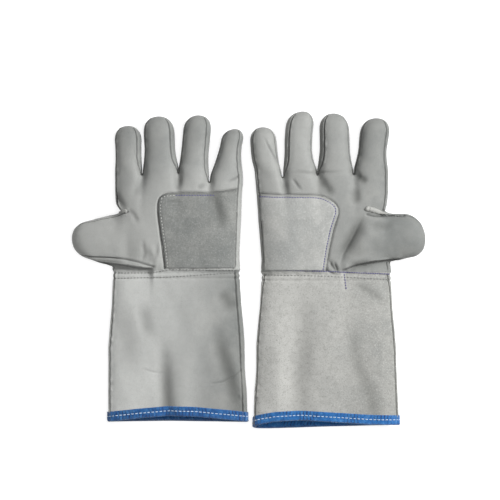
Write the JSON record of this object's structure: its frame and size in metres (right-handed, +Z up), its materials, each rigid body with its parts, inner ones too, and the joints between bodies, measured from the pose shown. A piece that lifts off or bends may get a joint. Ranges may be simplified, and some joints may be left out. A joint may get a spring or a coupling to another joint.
{
  "type": "insulated gauntlet gloves",
  "caption": "Pair of thick five-fingered leather gauntlet gloves with an insulating liner, a suede palm patch, flared cuffs and a tape-bound hem, lying palm up.",
  "frame": {"origin": "centre of the pair's footprint, on the surface it lies on", "axes": "+X across the pair, towards the right glove's thumb; +Y towards the fingertips; +Z up, out of the palms"},
  "size_m": [0.4034, 0.3621, 0.0364],
  "materials": {
    "grain_leather": "matte grain",
    "cuff_leather": "matte split",
    "suede": "napped suede",
    "fleece": "brushed pile",
    "binding": "ribbed tape",
    "thread_white": "twisted thread",
    "thread_violet": "twisted thread"
  },
  "bodies": {
    "left_hand": {"left_palm": "grain_leather", "left_hand_back": "grain_leather", "left_palm_patch": "suede", "left_hand_liner": "fleece", "left_finger_webs": "grain_leather", "left_thumb_gussets": "grain_leather"},
    "left_cuff": {"left_cuff_front": "cuff_leather", "left_cuff_back": "cuff_leather", "left_cuff_liner": "fleece", "left_cuff_binding": "binding"},
    "left_thumb": {"left_thumb_front": "grain_leather", "left_thumb_back": "grain_leather", "left_thumb_liner": "fleece"},
    "left_index": {"left_index_front": "grain_leather", "left_index_back": "grain_leather", "left_index_sidewalls": "grain_leather", "left_index_liner": "fleece"},
    "left_middle": {"left_middle_front": "grain_leather", "left_middle_back": "grain_leather", "left_middle_sidewalls": "grain_leather", "left_middle_liner": "fleece"},
    "left_ring": {"left_ring_front": "grain_leather", "left_ring_back": "grain_leather", "left_ring_sidewalls": "grain_leather", "left_ring_liner": "fleece"},
    "left_little": {"left_little_front": "grain_leather", "left_little_back": "grain_leather", "left_little_sidewalls": "grain_leather", "left_little_liner": "fleece"},
    "right_hand": {"right_palm": "grain_leather", "right_hand_back": "grain_leather", "right_palm_patch": "suede", "right_hand_liner": "fleece", "right_finger_webs": "grain_leather", "right_thumb_gussets": "grain_leather"},
    "right_cuff": {"right_cuff_front": "cuff_leather", "right_cuff_back": "cuff_leather", "right_cuff_liner": "fleece", "right_cuff_binding": "binding"},
    "right_thumb": {"right_thumb_front": "grain_leather", "right_thumb_back": "grain_leather", "right_thumb_liner": "fleece"},
    "right_index": {"right_index_front": "grain_leather", "right_index_back": "grain_leather", "right_index_sidewalls": "grain_leather", "right_index_liner": "fleece"},
    "right_middle": {"right_middle_front": "grain_leather", "right_middle_back": "grain_leather", "right_middle_sidewalls": "grain_leather", "right_middle_liner": "fleece"},
    "right_ring": {"right_ring_front": "grain_leather", "right_ring_back": "grain_leather", "right_ring_sidewalls": "grain_leather", "right_ring_liner": "fleece"},
    "right_little": {"right_little_front": "grain_leather", "right_little_back": "grain_leather", "right_little_sidewalls": "grain_leather", "right_little_liner": "fleece"}
  },
  "joints": [
    {"name": "left_index_bend", "type": "hinge", "parent": "left_hand", "child": "left_index", "pos_m": [-0.137, 0.109, 0.029], "axis": [1, 0, 0], "range_deg": [0, 60]},
    {"name": "left_middle_bend", "type": "hinge", "parent": "left_hand", "child": "left_middle", "pos_m": [-0.1, 0.109, 0.029], "axis": [1, 0, 0], "range_deg": [0, 60]},
    {"name": "left_ring_bend", "type": "hinge", "parent": "left_hand", "child": "left_ring", "pos_m": [-0.0615, 0.109, 0.029], "axis": [1, 0, 0], "range_deg": [0, 60]},
    {"name": "left_little_bend", "type": "hinge", "parent": "left_hand", "child": "left_little", "pos_m": [-0.0245, 0.109, 0.029], "axis": [1, 0, 0], "range_deg": [0, 60]},
    {"name": "left_thumb_bend", "type": "hinge", "parent": "left_hand", "child": "left_thumb", "pos_m": [-0.13565, 0.03435, 0.032], "axis": [0, 1, 0], "range_deg": [0, 50]},
    {"name": "left_cuff_fold", "type": "hinge", "parent": "left_hand", "child": "left_cuff", "pos_m": [-0.0825, -0.00115, 0.0305], "axis": [-1, 0, 0], "range_deg": [0, 60]},
    {"name": "right_index_bend", "type": "hinge", "parent": "right_hand", "child": "right_index", "pos_m": [0.142, 0.109, 0.029], "axis": [1, 0, 0], "range_deg": [0, 60]},
    {"name": "right_middle_bend", "type": "hinge", "parent": "right_hand", "child": "right_middle", "pos_m": [0.1, 0.109, 0.029], "axis": [1, 0, 0], "range_deg": [0, 60]},
    {"name": "right_ring_bend", "type": "hinge", "parent": "right_hand", "child": "right_ring", "pos_m": [0.0595, 0.109, 0.029], "axis": [1, 0, 0], "range_deg": [0, 60]},
    {"name": "right_little_bend", "type": "hinge", "parent": "right_hand", "child": "right_little", "pos_m": [0.0245, 0.109, 0.029], "axis": [1, 0, 0], "range_deg": [0, 60]},
    {"name": "right_thumb_bend", "type": "hinge", "parent": "right_hand", "child": "right_thumb", "pos_m": [0.14165, 0.03435, 0.032], "axis": [0, -1, 0], "range_deg": [0, 50]},
    {"name": "right_cuff_fold", "type": "hinge", "parent": "right_hand", "child": "right_cuff", "pos_m": [0.0885, -0.00115, 0.0305], "axis": [-1, 0, 0], "range_deg": [0, 60]},
    {"name": "right_glove_lift", "type": "slide", "parent": "left_hand", "child": "right_hand", "axis": [0, 0, 1], "range_m": [0, 0.25]}
  ]
}
